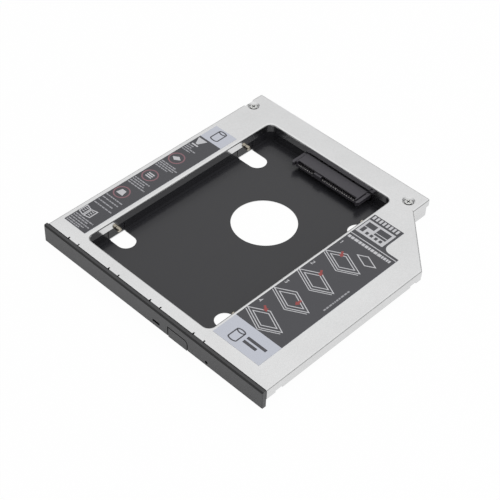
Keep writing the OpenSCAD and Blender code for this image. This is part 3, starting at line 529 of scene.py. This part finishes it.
def left_white(mesh):
    # Funnel over a bar
    prism(mesh, [(4.8, 79.4), (6.0, 79.4), (8.0, 83.5), (2.8, 83.5)], *FIELD)
    box(mesh, 3.6, 78.0, 7.2, 78.8, *FIELD)
    # Two panels that lean on each other
    for side in (-1, 1):
        inner, outer = 6.05 + 0.35 * side, 6.05 + 3.2 * side
        corners = [(inner, 13.5), (outer, 14.2), (outer, 18.7), (inner, 18.0)]
        if side < 0:
            corners.reverse()
        stroke(mesh, corners, 0.5, *FIELD, closed=True)
        for y in (15.0, 16.1, 17.2):
            middle = (inner + outer) / 2
            box(mesh, middle - 0.7, y, middle + 0.7, y + 0.4, *FIELD)
    # Plain shapes inside the rings
    (x, y), (u, v), (s, t) = LEFT_RINGS
    prism(mesh, [(x - 2.3, y - 0.2), (x - 0.2, y - 1.5), (x + 2.3, y + 0.2), (x + 0.2, y + 1.5)], *FIELD)
    for rise in (-1.4, -0.3, 0.8):
        box(mesh, u - 1.7, v + rise, u + 1.7, v + rise + 0.6, *FIELD)
    prism(mesh, [(s - 1.9, t - 1.5), (s + 1.9, t - 1.5), (s + 1.2, t + 1.6), (s - 1.2, t + 1.6)], *FIELD)


def left_lines(mesh):
    for number, rows in enumerate(LEFT_TEXT):
        text_rows(mesh, 2.9, rows, 0.62, FIELD, number + 1)


def left_rings(mesh):
    for x, y in LEFT_RINGS:
        ring(mesh, x, y, 3.8, 3.2, *FIELD)


def left_mark(mesh):
    drum(mesh, 8.4, 90.0, 4.2, 7.0, 0.6, ON_FILM)


piece("left_label_white", left_white, print_white)
piece("left_label_lines", left_lines, print_grey)
piece("left_label_rings", left_rings, print_rose)
piece("left_label_mark", left_mark, print_dark)

TRAYS = ((99.8, 25.1), (99.8, 40.1), (99.5, 54.8), (99.5, 70.5))
TRAY_ALONG = Vector((10.9, -4.8))
TRAY_BACK = Vector((7.9, 4.5))


def tray(mesh, cx, cy):
    """A slab with a window, drawn at a slant."""
    centre = Vector((cx, cy))
    near = centre - (TRAY_ALONG + TRAY_BACK) / 2
    corners = [near, near + TRAY_ALONG, near + TRAY_ALONG + TRAY_BACK, near + TRAY_BACK]
    stroke(mesh, corners, 0.42, *FIELD, closed=True)
    window = [centre + (c - centre) * 0.70 for c in corners]
    stroke(mesh, window, 0.40, *FIELD, closed=True)
    drop = Vector((0, -1.1))
    stroke(mesh, [corners[0] + drop, corners[1] + drop, corners[2] + drop], 0.36, *FIELD)


def right_white(mesh):
    box(mesh, RIGHT_X0 + 0.1, 86.0, RIGHT_X1 - 0.1, 86.45, *FIELD)
    text_rows(mesh, 90.7, ((84.1, 22.4),), 1.5, FIELD, 11)
    for cx, cy in TRAYS:
        tray(mesh, cx, cy)
    # Loose slab beside the first drawing
    middle = Vector((106.0, 77.7))
    along, back = TRAY_ALONG * 0.56, TRAY_BACK * 0.5
    stroke(mesh, [middle - along / 2 - back / 2, middle + along / 2 - back / 2,
                  middle + along / 2 + back / 2, middle - along / 2 + back / 2], 0.45, *FIELD, closed=True)
    # Block with the plug drawn on it, and a row of plain bars behind it
    box(mesh, 90.5, 88.5, 105.0, 97.6, *FIELD)
    for i in range(8):
        box(mesh, 90.8 + 1.8 * i, 98.7, 91.9 + 1.8 * i, 101.0, *FIELD)


def right_dark(mesh):
    box(mesh, 91.6, 93.4, 96.4, 96.4, *DETAIL)
    box(mesh, 97.6, 93.4, 103.8, 96.4, *DETAIL)
    box(mesh, 91.6, 89.8, 93.4, 93.0, *DETAIL)
    box(mesh, 97.6, 91.8, 103.8, 93.0, *DETAIL)
    for i in range(4):
        box(mesh, 94.6 + 2.4 * i, 89.6, 96.0 + 2.4 * i, 91.2, *DETAIL)


def right_mark(mesh):
    drum(mesh, 97.9, 11.7, 4.2, 6.5, 0.6, ON_FILM)
    box(mesh, 101.8, 12.9, 111.7, 14.3, *ON_FILM)
    box(mesh, 101.8, 10.6, 108.6, 12.0, *ON_FILM)


def right_lines(mesh):
    draw = random.Random(12)
    y = 44.9
    while y < 59.7:
        end = min(y + draw.uniform(0.7, 1.8), 60.0)
        box(mesh, 112.1, y, 112.8, end, *FIELD)
        y = end + 0.35


# Strokes of the step numbers, on a grid two units high
DIGITS = {
    1: [(0.2, 1.6), (0.6, 2.0), (0.6, 0.0)],
    2: [(0.0, 1.9), (1.0, 2.0), (1.0, 1.1), (0.0, 0.0), (1.1, 0.0)],
    3: [(0.0, 2.0), (1.0, 2.0), (0.45, 1.1), (1.0, 0.7), (0.8, 0.0), (0.0, 0.0)],
    4: [(0.85, 0.0), (0.85, 2.0), (0.0, 0.6), (0.65, 0.6)],
}
DIGIT_PLACES = ((4, 31.5), (3, 46.3), (2, 61.6), (1, 79.0))


def right_digits(mesh):
    for digit, y in DIGIT_PLACES:
        stroke(mesh, [(91.0 + u * 0.85, y - 0.85 + v * 0.85) for u, v in DIGITS[digit]], 0.32, *FIELD)


# Tip of each arrow and the way it points, in degrees
ARROWS = ((97.5, 28.4, -35), (102.7, 39.1, -90), (98.7, 57.8, -60), (97.3, 72.0, -60))


def right_red(mesh):
    for x, y, heading in ARROWS:
        turn = math.radians(heading)
        ahead = Vector((math.cos(turn), math.sin(turn)))
        side = Vector((-ahead.y, ahead.x))
        tip = Vector((x, y))
        neck, tail = tip - ahead * 1.7, tip - ahead * 3.6
        prism(mesh, [tail - side * 0.5, neck - side * 0.5, neck - side * 1.2, tip,
                     neck + side * 1.2, neck + side * 0.5, tail + side * 0.5], *DETAIL)


piece("right_label_white", right_white, print_white)
piece("right_label_lines", right_lines, print_grey)
piece("right_label_digits", right_digits, print_white)
piece("right_label_red", right_red, print_red)
piece("right_label_dark", right_dark, label_dark)
piece("right_label_mark", right_mark, print_dark)


# Floor, world and lamps


# Distance from the caddy and strength of the floor in reflections, where it starts and ends to darken
FLOOR_NEAR = (0.12, 0.88)
FLOOR_FAR = (0.40, 0.35)
# Shares of the floor that glow white to the camera and in reflections. The rest takes the light.
FLOOR_SEEN = 0.975
FLOOR_REFLECTED = 0.8
# Strength of the world's light on things
WORLD_LIGHT = 0.62


def shown_ray(tree):
    """1 for rays from the camera or through glass, and 1 for reflections. Other rays only carry light."""
    path = tree.nodes.new("ShaderNodeLightPath")
    plain = math_node(tree, "MAXIMUM", path.outputs["Is Camera Ray"], path.outputs["Is Transmission Ray"])
    return plain, path.outputs["Is Glossy Ray"]


def make_floor():
    """A white floor that keeps a trace of the shadow. In reflections it darkens away from the caddy."""
    bpy.ops.mesh.primitive_plane_add(size=8.0, location=(0, 0, -0.00005))
    floor = bpy.context.object
    floor.name = "floor"
    material = bpy.data.materials.new("floor_white")
    material.use_nodes = True
    tree = material.node_tree
    tree.nodes.clear()
    out = tree.nodes.new("ShaderNodeOutputMaterial")
    matt = tree.nodes.new("ShaderNodeBsdfDiffuse")
    matt.inputs["Color"].default_value = (0.85, 0.85, 0.85, 1)
    place = tree.nodes.new("ShaderNodeTexCoord")
    away = tree.nodes.new("ShaderNodeVectorMath")
    away.operation = "LENGTH"
    tree.links.new(place.outputs["Object"], away.inputs[0])
    fade = tree.nodes.new("ShaderNodeMapRange")
    for end, (distance, strength) in (("Min", FLOOR_NEAR), ("Max", FLOOR_FAR)):
        fade.inputs["From " + end].default_value = distance
        fade.inputs["To " + end].default_value = strength
    tree.links.new(away.outputs["Value"], fade.inputs["Value"])
    plain, glossy = shown_ray(tree)
    glow = tree.nodes.new("ShaderNodeEmission")
    strength = math_node(tree, "MULTIPLY_ADD", fade.outputs[0], glossy, plain)
    tree.links.new(strength, glow.inputs["Strength"])
    seen = math_node(tree, "MULTIPLY", plain, FLOOR_SEEN)
    share = math_node(tree, "MULTIPLY_ADD", glossy, FLOOR_REFLECTED, seen)
    blend = tree.nodes.new("ShaderNodeMixShader")
    tree.links.new(share, blend.inputs[0])
    tree.links.new(matt.outputs[0], blend.inputs[1])
    tree.links.new(glow.outputs[0], blend.inputs[2])
    tree.links.new(blend.outputs[0], out.inputs["Surface"])
    floor.data.materials.append(material)


# What reflections see of the studio, by the sine of the height above the horizon
STUDIO = ((0.0, 0.16), (0.22, 0.22), (0.45, 0.66), (0.58, 0.92), (0.68, 1.0), (1.0, 1.0))


def make_world():
    world = bpy.data.worlds.new("studio")
    bpy.context.scene.world = world
    world.use_nodes = True
    tree = world.node_tree
    tree.nodes.clear()
    out = tree.nodes.new("ShaderNodeOutputWorld")
    place = tree.nodes.new("ShaderNodeTexCoord")
    split = tree.nodes.new("ShaderNodeSeparateXYZ")
    tree.links.new(place.outputs["Generated"], split.inputs[0])
    level = tree.nodes.new("ShaderNodeFloatCurve")
    curve = level.mapping.curves[0]
    curve.points[0].location = STUDIO[0]
    curve.points[1].location = STUDIO[-1]
    for stop in STUDIO[1:-1]:
        curve.points.new(*stop)
    for stop in curve.points:
        stop.handle_type = "VECTOR"
    level.mapping.update()
    tree.links.new(split.outputs["Z"], level.inputs["Value"])
    soft = tree.nodes.new("ShaderNodeBackground")
    soft.inputs["Strength"].default_value = WORLD_LIGHT
    seen = tree.nodes.new("ShaderNodeBackground")
    plain, glossy = shown_ray(tree)
    strength = math_node(tree, "MULTIPLY_ADD", level.outputs[0], glossy, plain)
    tree.links.new(strength, seen.inputs["Strength"])
    for background in (soft, seen):
        background.inputs["Color"].default_value = (1, 1, 1, 1)
    blend = tree.nodes.new("ShaderNodeMixShader")
    tree.links.new(math_node(tree, "MAXIMUM", plain, glossy), blend.inputs[0])
    tree.links.new(soft.outputs[0], blend.inputs[1])
    tree.links.new(seen.outputs[0], blend.inputs[2])
    tree.links.new(blend.outputs[0], out.inputs["Surface"])


def make_lamp(name, place, target, size, power):
    """A soft lamp. Reflections show the studio instead of it."""
    data = bpy.data.lights.new(name, "AREA")
    data.shape = "SQUARE"
    data.size = size
    data.energy = power
    lamp = bpy.data.objects.new(name, data)
    lamp.location = place
    lamp.rotation_euler = (Vector(target) - Vector(place)).to_track_quat("-Z", "Y").to_euler()
    lamp.visible_glossy = False
    bpy.context.scene.collection.objects.link(lamp)


make_floor()
make_world()
make_lamp("key_lamp", (0.5, 0.5, 1.2), (0, 0, 0), 1.2, 9.0)


# Camera, fitted to the photograph

CAMERA_PLACE = (0.278691, -0.306514, 0.395945)
CAMERA_RIGHT = (0.71296, 0.70061, 0.02898)
CAMERA_DOWN = (0.50210, -0.48122, -0.71856)
CAMERA_AHEAD = (-0.48948, 0.52685, -0.69486)
FOCAL_SHARE = 1370.0 / 500.0
SENSOR = 36.0

camera_data = bpy.data.cameras.new("camera")
camera_data.sensor_fit = "HORIZONTAL"
camera_data.sensor_width = SENSOR
camera_data.lens = SENSOR * FOCAL_SHARE
camera_data.clip_start = 0.01
camera = bpy.data.objects.new("camera", camera_data)
columns = (Vector(CAMERA_RIGHT), -Vector(CAMERA_DOWN), -Vector(CAMERA_AHEAD))
turn = Matrix(columns).transposed().to_quaternion()
camera.matrix_world = Matrix.Translation(CAMERA_PLACE) @ turn.to_matrix().to_4x4()
bpy.context.scene.collection.objects.link(camera)
bpy.context.scene.camera = camera
bpy.context.scene.view_settings.view_transform = "Standard"
